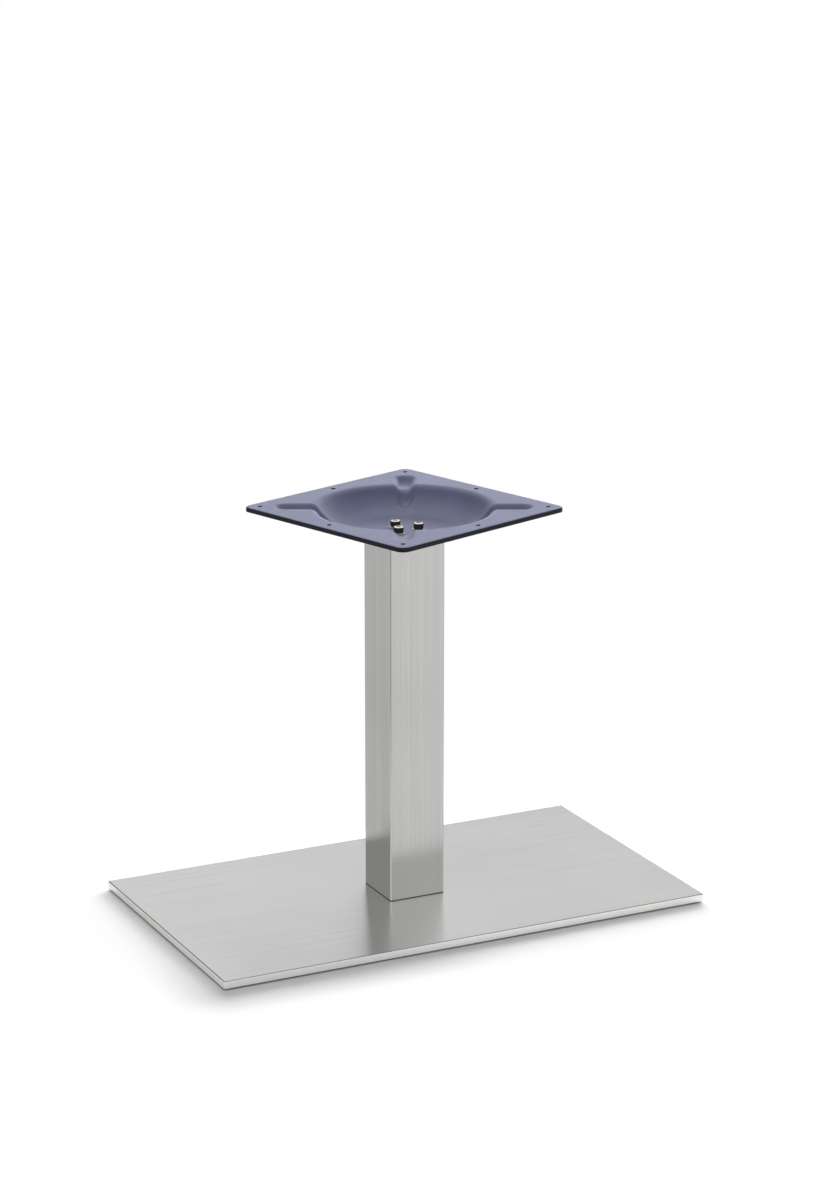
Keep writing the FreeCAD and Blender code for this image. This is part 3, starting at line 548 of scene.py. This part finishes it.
class TABLEBASE_OT_head(bpy.types.Operator):
    """Pressed head plate with its bowl, corner channels and turned down edge"""
    bl_idname = "tablebase.head"
    bl_label = "Head"

    def execute(self, context):
        head = context.scene.table_base_head
        bolts = context.scene.table_base_bolts
        plate = self.turned_down_blank(head)
        self.press(plate, head)
        pick(plate)
        wall = plate.modifiers.new("Sheet", "SOLIDIFY")
        wall.thickness = head.sheet
        wall.offset = -1.0
        bpy.ops.object.modifier_apply(modifier=wall.name)
        cut(plate, self.punches(head, bolts))
        plate.rotation_euler.z = head.turn
        plate.location.z = HEAD_TOP
        settle(plate)
        smooth(plate, angle=40)
        # The second coat is painted shade for the turned down edge and the screw holes
        give(plate, powder_coat("Satin powder coat", head.coat, sheen=1.0),
             powder_coat("Powder coat with painted shade", head.edge_painted_shade, sheen=0.35))
        self.paint_edge_shade(plate, head)
        seat(plate, "top_plate")
        return {"FINISHED"}

    def turned_down_blank(self, head):
        """Flat blank with round corners and a turned down edge, its top at zero height."""
        deselect()
        bpy.ops.mesh.primitive_plane_add(size=head.side, location=(0.0, 0.0, -head.rim))
        blank = bpy.context.active_object
        blank.name = "pressed_head"
        settle(blank)
        choose(blank, "VERT", lambda v: True)
        bpy.ops.mesh.bevel(
            offset=head.corner, segments=CORNER_STEPS, profile=0.5, affect="VERTICES")
        choose(blank, "FACE", lambda f: True)
        bpy.ops.mesh.extrude_region_move(
            TRANSFORM_OT_translate={"value": (0.0, 0.0, head.rim - head.bend)})
        choose(blank, "FACE", lambda f: f.calc_center_median().z < NEAR - head.rim)
        bpy.ops.mesh.delete(type="ONLY_FACE")
        choose(blank, "FACE", lambda f: f.normal.z > FACING)
        step = 90 / BEND_STEPS
        for k in range(BEND_STEPS):
            low, high = math.radians(step * k), math.radians(step * (k + 1))
            bpy.ops.mesh.inset(
                thickness=head.bend * (math.cos(low) - math.cos(high)),
                depth=head.bend * (math.sin(high) - math.sin(low)))
        half = head.side / 2
        count = int(half / head.mesh_step)
        for k in range(1 - count, count):
            for way in ((1.0, 0.0, 0.0), (0.0, 1.0, 0.0)):
                bpy.ops.mesh.select_all(action="SELECT")
                bpy.ops.mesh.bisect(
                    plane_co=[c * k * head.mesh_step for c in way], plane_no=way)
        bpy.ops.object.mode_set(mode="OBJECT")
        return blank

    def press(self, plate, head):
        """Sink the bowl and the channels into the level sheet."""
        for point in plate.data.vertices:
            if point.co.z > -NEAR:
                point.co.z = -self.sunk(head, point.co.x, point.co.y)

    def sunk(self, head, x, y):
        out = math.hypot(x, y)
        turn = (math.atan2(y, x) % (math.pi / 2)) - math.pi / 4
        along, across = out * math.cos(turn), out * math.sin(turn)
        beside = math.hypot(max(0.0, along - head.channel_end), across)
        # A channel runs level under the corner and on down the wall, where it ends round
        fade = self.ease((along - CHANNEL_START) / CHANNEL_FADE)
        half = CHANNEL_HALF * (CHANNEL_NARROW + CHANNEL_GAIN * fade)
        share = self.ease((half - beside) / CHANNEL_SHOULDER)
        return self.bowl(head, out) + head.channel * fade * share

    def ease(self, share):
        share = min(1.0, max(0.0, share))
        return share * share * (3.0 - 2.0 * share)

    def bowl(self, head, out):
        slope = 2.0 * math.atan(head.depth / (head.mouth - head.floor))
        wall = (head.mouth - head.floor) / math.sin(slope) - head.roll
        if out >= head.mouth:
            return 0.0
        if out > head.mouth - head.roll * math.sin(slope):
            return head.roll - math.sqrt(head.roll ** 2 - (head.mouth - out) ** 2)
        if out > head.floor:
            return head.depth - wall + math.sqrt(wall ** 2 - (out - head.floor) ** 2)
        return head.depth

    def paint_edge_shade(self, plate, head):
        """Give the turned down edge and the walls of the screw holes the coat with painted shade."""
        half = head.side / 2 - EDGE_BAND
        inner = half - head.corner
        back = math.cos(-head.turn), math.sin(-head.turn)
        for face in plate.data.polygons:
            if abs(face.normal.z) > STEEP:
                continue
            x, y, _ = face.center
            x, y = x * back[0] - y * back[1], x * back[1] + y * back[0]
            along, across = abs(x), abs(y)
            if min(along, across) > inner:
                dark = math.hypot(along - inner, across - inner) > head.corner
            else:
                dark = max(along, across) > half
            if dark or any(math.hypot(x - a, y - b) < head.screw_hole / 2 + HOLE_BAND
                           for a, b in self.hole_places(head)):
                face.material_index = 1

    def hole_places(self, head):
        corner, side = head.corner_hole, head.side_hole
        return ((corner, corner), (-corner, corner), (-corner, -corner), (corner, -corner),
                (side, 0.0), (0.0, side), (-side, 0.0), (0.0, -side))

    def punches(self, head, bolts):
        """Punches for the screw holes round the edge and the bolt holes in the bowl's floor."""
        tools = []
        for x, y in self.hole_places(head):
            tools.append(new_cylinder("punch", PUNCH_SIDES, head.screw_hole / 2, *RIM_PUNCH, x, y))
        for k in range(3):
            place = centre_of("head_washer_%d" % (k + 1))
            turn = math.atan2(place.y, place.x) - head.turn
            out = math.hypot(place.x, place.y)
            tools.append(new_cylinder("punch", PUNCH_SIDES, bolts.clear / 2, *FLOOR_PUNCH,
                                      out * math.cos(turn), out * math.sin(turn)))
        deselect()
        for tool in tools:
            tool.select_set(True)
        bpy.context.view_layer.objects.active = tools[0]
        bpy.ops.object.join()
        settle(tools[0])
        return tools[0]


class TABLEBASE_OT_bolts(bpy.types.Operator):
    """Cap screws, washers and countersunk bolts"""
    bl_idname = "tablebase.bolts"
    bl_label = "Bolts"

    def execute(self, context):
        bolts = context.scene.table_base_bolts
        zinc = plain_metal("Bright zinc", bolts.plating, rough=(0.16, 0.30), grain=700.0)
        # The second material is painted shade for the heads' sides
        black = plain_metal(
            "Knurl with painted shade", bolts.painted_side_shade, rough=(0.35, 0.55), grain=900.0, metallic=0.4)
        for k in range(3):
            self.cap_screw("head_bolt_%d" % (k + 1), "cap_screw_%d" % (k + 1), bolts, zinc, black)
            self.washer("head_washer_%d" % (k + 1), "flat_washer_%d" % (k + 1), bolts, zinc)
        for k in range(4):
            smooth_node("foot_bolt_%d" % (k + 1), zinc)
        return {"FINISHED"}

    def cap_screw(self, node, name, bolts, zinc, black):
        low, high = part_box(node)
        middle = centre_of(node)
        seat_height = high.z - bolts.head
        radius = (high.x - low.x) / 2
        screw = new_cylinder(name, bolts.knurls * 2, radius, seat_height, high.z, middle.x, middle.y)
        settle(screw)
        choose(screw, "EDGE", lambda e: all(abs(v.co.z - high.z) < NEAR for v in e.verts))
        bpy.ops.mesh.bevel(offset=HEAD_BEVEL, segments=3, profile=0.5, affect="EDGES")
        sides = sorted(
            (f for f in bmesh.from_edit_mesh(screw.data).faces
             if abs(f.normal.z) < 0.01 and f.calc_area() > 1e-7),
            key=lambda f: math.atan2(f.calc_center_median().y - middle.y,
                                     f.calc_center_median().x - middle.x))
        ribs = {f.index for f in sides[::2]}
        choose(screw, "FACE", lambda f: f.index in ribs)
        bpy.ops.mesh.inset(thickness=KNURL_INSET, depth=-KNURL_DEPTH, use_individual=True)
        choose(screw, "FACE", lambda f: f.normal.z < -FACING)
        bpy.ops.mesh.inset(thickness=radius - bolts.shank / 2, depth=0.0)
        bpy.ops.mesh.extrude_region_move(
            TRANSFORM_OT_translate={"value": (0.0, 0.0, low.z - seat_height)})
        bpy.ops.mesh.inset(thickness=TIP_CHAMFER, depth=0.0)
        tip = (bolts.shank - TIP_CHAMFER) / 2
        choose(screw, "VERT", lambda v: abs(v.co.z - low.z) < NEAR
               and math.hypot(v.co.x - middle.x, v.co.y - middle.y) > tip)
        bpy.ops.transform.translate(value=(0.0, 0.0, TIP_CHAMFER))
        bpy.ops.object.mode_set(mode="OBJECT")
        socket = new_cylinder("socket", 6, bolts.key / math.sqrt(3), high.z - bolts.head / 2,
                              high.z + SOCKET_OVER, middle.x, middle.y)
        settle(socket)
        cut(screw, socket)
        give(screw, zinc, black)
        # The sides of the head, ribs and all, get the painted shade
        for face in screw.data.polygons:
            out = math.hypot(face.center.x - middle.x, face.center.y - middle.y)
            side = abs(face.normal.z) < 0.5 and face.center.z > seat_height and out > radius * 0.9
            face.material_index = 1 if side else 0
        smooth(screw, angle=25)
        seat(screw, node)

    def washer(self, node, name, bolts, zinc):
        low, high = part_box(node)
        middle = centre_of(node)
        disc = new_cylinder(name, WASHER_SIDES, (high.x - low.x) / 2, low.z, high.z, middle.x, middle.y)
        settle(disc)
        bore = new_cylinder("bore", BORE_SIDES, bolts.shank / 2 + BORE_CLEARANCE,
                            low.z - BORE_OVER, high.z + BORE_OVER, middle.x, middle.y)
        settle(bore)
        cut(disc, bore)
        # The short level edges run round the washer and its bore
        choose(disc, "EDGE", lambda e: e.calc_length() < RING_STEP and abs(
            e.verts[0].co.z - e.verts[1].co.z) < NEARER)
        bpy.ops.mesh.bevel(offset=WASHER_BEVEL, segments=2, profile=0.5, affect="EDGES")
        bpy.ops.object.mode_set(mode="OBJECT")
        smooth(disc, angle=35)
        give(disc, zinc)
        seat(disc, node)


class TABLEBASE_OT_stage(bpy.types.Operator):
    """Pale floor, soft light and the camera"""
    bl_idname = "tablebase.stage"
    bl_label = "Stage"

    def execute(self, context):
        stage = context.scene.table_base_stage
        self.pale_world(context.scene, stage.sky)
        self.pale_floor(stage.floor)
        self.lamps(stage.key, stage.back)
        self.view(context.scene)
        context.scene.view_settings.view_transform = "Standard"
        return {"FINISHED"}

    def pale_world(self, scene, sky):
        world = bpy.data.worlds.new("Pale studio")
        scene.world = world
        world.use_nodes = True
        tree = world.node_tree
        tree.nodes.clear()
        out = add(tree, "ShaderNodeOutputWorld", {})
        path = add(tree, "ShaderNodeLightPath", {}).outputs
        place = add(tree, "ShaderNodeTexCoord", {}).outputs["Generated"]
        light = add(tree, "ShaderNodeBackground", {"Color": WHITE, "Strength": sky})
        # Metal sees the far left of the studio greyer
        level = self.grey_side(
            tree, path, place, way=(0.5, -0.866, 0.0), ends=(-0.95, -0.60), levels=(0.45, 1.0))
        shown = add(tree, "ShaderNodeBackground", {"Color": WHITE, "Strength": level})
        # One for what the camera sees, also in metal and through glass
        seen = maths(tree, "MAXIMUM", path["Is Camera Ray"], self.mirrored(tree, path))
        mix = add(tree, "ShaderNodeMixShader", {
            "Fac": seen, 1: light.outputs["Background"], 2: shown.outputs["Background"]})
        fill(tree, out, {"Surface": mix.outputs["Shader"]})

    def mirrored(self, tree, path):
        """One for what is seen in metal or through glass."""
        return maths(tree, "MAXIMUM", path["Is Glossy Ray"], path["Is Transmission Ray"])

    def grey_side(self, tree, path, place, way, ends, levels):
        """White for the camera, and greyer towards one side for metal."""
        along = vectors(tree, "DOT_PRODUCT", place, way)
        grey = carried(tree, along, *ends, *levels, kind="SMOOTHSTEP")
        return maths(tree, "MAXIMUM", grey, path["Is Camera Ray"])

    def pale_floor(self, reach):
        deselect()
        bpy.ops.mesh.primitive_plane_add(size=reach, location=(0.0, 0.0, 0.0))
        floor = bpy.context.active_object
        floor.name = "Floor"
        material, tree, shader = new_material("Pale floor")
        fill(tree, shader, {
            "Base Color": (0.95, 0.95, 0.95, 1.0), "Roughness": 0.9, "Specular IOR Level": 0.0})
        path = add(tree, "ShaderNodeLightPath", {}).outputs
        place = add(tree, "ShaderNodeTexCoord", {}).outputs["Object"]
        # Distance from the foot's outline: its shadow stays, and the floor is white further out
        outline = (FOOT_SPAN.x / 2, FOOT_SPAN.y / 2, 0.0)
        outside = vectors(tree, "SUBTRACT", vectors(tree, "ABSOLUTE", place), outline)
        distance = vectors(tree, "LENGTH", vectors(tree, "MAXIMUM", outside, (0.0, 0.0, 0.0)))
        near = self.white_share(tree, distance, 0.025, 0.085, path["Is Camera Ray"])
        wide = self.white_share(tree, distance, -0.04, 0.10, self.mirrored(tree, path))
        # Metal sees the left side of the floor greyer
        level = self.grey_side(
            tree, path, place, way=(1.0, 0.0, 0.0), ends=(-0.15, 0.05), levels=(0.69, 0.89))
        far = add(tree, "ShaderNodeEmission", {"Color": WHITE, "Strength": level})
        mix = add(tree, "ShaderNodeMixShader", {
            "Fac": maths(tree, "MAXIMUM", near, wide),
            1: shader.outputs["BSDF"], 2: far.outputs["Emission"]})
        fill(tree, tree.nodes["Material Output"], {"Surface": mix.outputs["Shader"]})
        give(floor, material)

    def white_share(self, tree, distance, low, high, rays):
        """How much of the floor is plain white for one kind of ray, by its distance from the foot."""
        return maths(tree, "MULTIPLY", carried(tree, distance, low, high, kind="SMOOTHSTEP"), rays)

    def lamps(self, key, back):
        self.soft_box("Soft key", place=(0.1, 0.75, 2.5), width=2.0, height=2.0, power=key)
        behind = self.soft_box(
            "Soft back light", place=(1.75, 2.35, 1.05), width=4.4, height=1.5, power=back)
        # Metal shows the white studio and not this lamp
        behind.visible_glossy = False

    def soft_box(self, name, place, width, height, power):
        """A soft lamp that faces the middle of the floor."""
        deselect()
        spot = Vector(place)
        bpy.ops.object.light_add(type="AREA", location=spot)
        lamp = bpy.context.active_object
        lamp.name = name
        lamp.rotation_euler = spot.to_track_quat("Z", "Y").to_euler()
        lamp.data.shape = "RECTANGLE"
        lamp.data.size = width
        lamp.data.size_y = height
        lamp.data.energy = power
        return lamp

    def view(self, scene):
        data = bpy.data.cameras.new("Camera")
        camera = bpy.data.objects.new("Camera", data)
        scene.collection.objects.link(camera)
        level = math.cos(CAMERA_RISE)
        back = Vector((
            math.sin(CAMERA_SIDE) * level, -math.cos(CAMERA_SIDE) * level, math.sin(CAMERA_RISE)))
        camera.location = CAMERA_PLACE
        camera.rotation_euler = back.to_track_quat("Z", "Y").to_euler()
        data.lens = CAMERA_LENS
        data.sensor_width = SENSOR_WIDTH
        data.clip_end = CAMERA_REACH
        scene.camera = camera


class TABLEBASE_PT_panel(bpy.types.Panel):
    bl_label = "Table base"
    bl_idname = "TABLEBASE_PT_panel"
    bl_space_type = "VIEW_3D"
    bl_region_type = "UI"
    bl_category = "Table base"

    def draw(self, context):
        layout = self.layout
        scene = context.scene
        for group, names in (
            (scene.table_base_head, HeadSettings.__annotations__),
            (scene.table_base_bolts, BoltSettings.__annotations__),
            (scene.table_base_steel, SteelSettings.__annotations__),
            (scene.table_base_stage, StageSettings.__annotations__),
        ):
            column = layout.column()
            for name in names:
                column.prop(group, name)
        for operator in OPERATORS:
            layout.operator(operator.bl_idname)


GROUPS = (HeadSettings, BoltSettings, SteelSettings, StageSettings)
OPERATORS = (
    TABLEBASE_OT_foot,
    TABLEBASE_OT_column,
    TABLEBASE_OT_head,
    TABLEBASE_OT_bolts,
    TABLEBASE_OT_stage,
)


def register():
    for item in GROUPS + OPERATORS + (TABLEBASE_PT_panel,):
        bpy.utils.register_class(item)
    bpy.types.Scene.table_base_head = bpy.props.PointerProperty(type=HeadSettings)
    bpy.types.Scene.table_base_bolts = bpy.props.PointerProperty(type=BoltSettings)
    bpy.types.Scene.table_base_steel = bpy.props.PointerProperty(type=SteelSettings)
    bpy.types.Scene.table_base_stage = bpy.props.PointerProperty(type=StageSettings)


def unregister():
    del bpy.types.Scene.table_base_stage
    del bpy.types.Scene.table_base_steel
    del bpy.types.Scene.table_base_bolts
    del bpy.types.Scene.table_base_head
    for item in reversed(GROUPS + OPERATORS + (TABLEBASE_PT_panel,)):
        bpy.utils.unregister_class(item)


def main():
    register()
    bpy.ops.tablebase.foot()
    bpy.ops.tablebase.column()
    bpy.ops.tablebase.head()
    bpy.ops.tablebase.bolts()
    bpy.ops.tablebase.stage()


if __name__ == "__main__":
    main()
